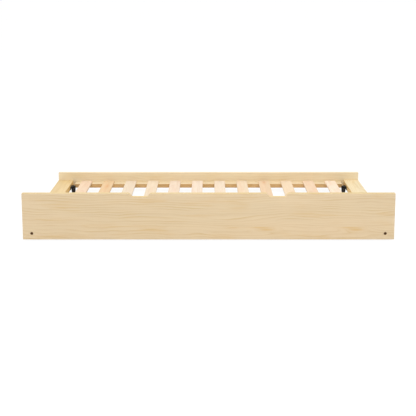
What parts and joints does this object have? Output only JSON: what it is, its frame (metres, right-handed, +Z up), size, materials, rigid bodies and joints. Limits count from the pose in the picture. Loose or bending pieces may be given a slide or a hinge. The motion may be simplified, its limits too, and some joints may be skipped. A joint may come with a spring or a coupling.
{
  "type": "trundle bed",
  "caption": "Low pine trundle bed that rolls on side-mounted casters, with a tall front panel cut with finger scoops, a low back rail and a slatted deck.",
  "frame": {"origin": "on the floor, under the middle of the bed's outer box", "axes": "+X along the bed to the right when facing the tall panel, +Y from the tall front panel to the low back rail, +Z up"},
  "size_m": [1.955, 0.98, 0.26],
  "materials": {
    "board_pine": "clear lacquered pine, satin",
    "slat_pine": "planed pine, untreated",
    "dowel_beech": "turned beech",
    "brown_steel": "dark brown coated steel",
    "zinc_steel": "bright zinc plated",
    "black_steel": "black powder coat",
    "black_nylon": "black moulded nylon",
    "black_rubber": "black rubber tread"
  },
  "bodies": {
    "frame": {"front_panel": "board_pine", "back_rail": "board_pine", "left_end_beam": "board_pine", "right_end_beam": "board_pine", "front_ledge": "board_pine", "rear_ledge": "board_pine", "middle_rail": "board_pine", "slat_01": "slat_pine", "slat_02": "slat_pine", "slat_03": "slat_pine", "slat_04": "slat_pine", "slat_05": "slat_pine", "slat_06": "slat_pine", "slat_07": "slat_pine", "slat_08": "slat_pine", "slat_09": "slat_pine", "slat_10": "slat_pine", "slat_11": "slat_pine", "slat_12": "slat_pine", "corner_bolts": "brown_steel", "barrel_nuts": "zinc_steel", "locating_dowels": "dowel_beech", "ledge_screws": "zinc_steel", "slat_screws": "zinc_steel", "caster_screws": "zinc_steel", "left_rail_angle": "zinc_steel", "right_rail_angle": "zinc_steel", "angle_screws": "zinc_steel", "front_left_bracket": "black_steel", "front_right_bracket": "black_steel", "rear_left_bracket": "black_steel", "rear_right_bracket": "black_steel", "front_left_axle": "zinc_steel", "front_right_axle": "zinc_steel", "rear_left_axle": "zinc_steel", "rear_right_axle": "zinc_steel"},
    "front_left_wheel": {"front_left_hub": "black_nylon", "front_left_tyre": "black_rubber"},
    "front_right_wheel": {"front_right_hub": "black_nylon", "front_right_tyre": "black_rubber"},
    "rear_left_wheel": {"rear_left_hub": "black_nylon", "rear_left_tyre": "black_rubber"},
    "rear_right_wheel": {"rear_right_hub": "black_nylon", "rear_right_tyre": "black_rubber"}
  },
  "joints": [
    {"name": "front_left_wheel_spin", "type": "hinge", "parent": "frame", "child": "front_left_wheel", "pos_m": [-0.8655, -0.38, 0.0225], "axis": [1, 0, 0], "continuous": true},
    {"name": "front_right_wheel_spin", "type": "hinge", "parent": "frame", "child": "front_right_wheel", "pos_m": [0.8655, -0.38, 0.0225], "axis": [1, 0, 0], "continuous": true},
    {"name": "rear_left_wheel_spin", "type": "hinge", "parent": "frame", "child": "rear_left_wheel", "pos_m": [-0.8655, 0.38, 0.0225], "axis": [1, 0, 0], "continuous": true},
    {"name": "rear_right_wheel_spin", "type": "hinge", "parent": "frame", "child": "rear_right_wheel", "pos_m": [0.8655, 0.38, 0.0225], "axis": [1, 0, 0], "continuous": true}
  ]
}
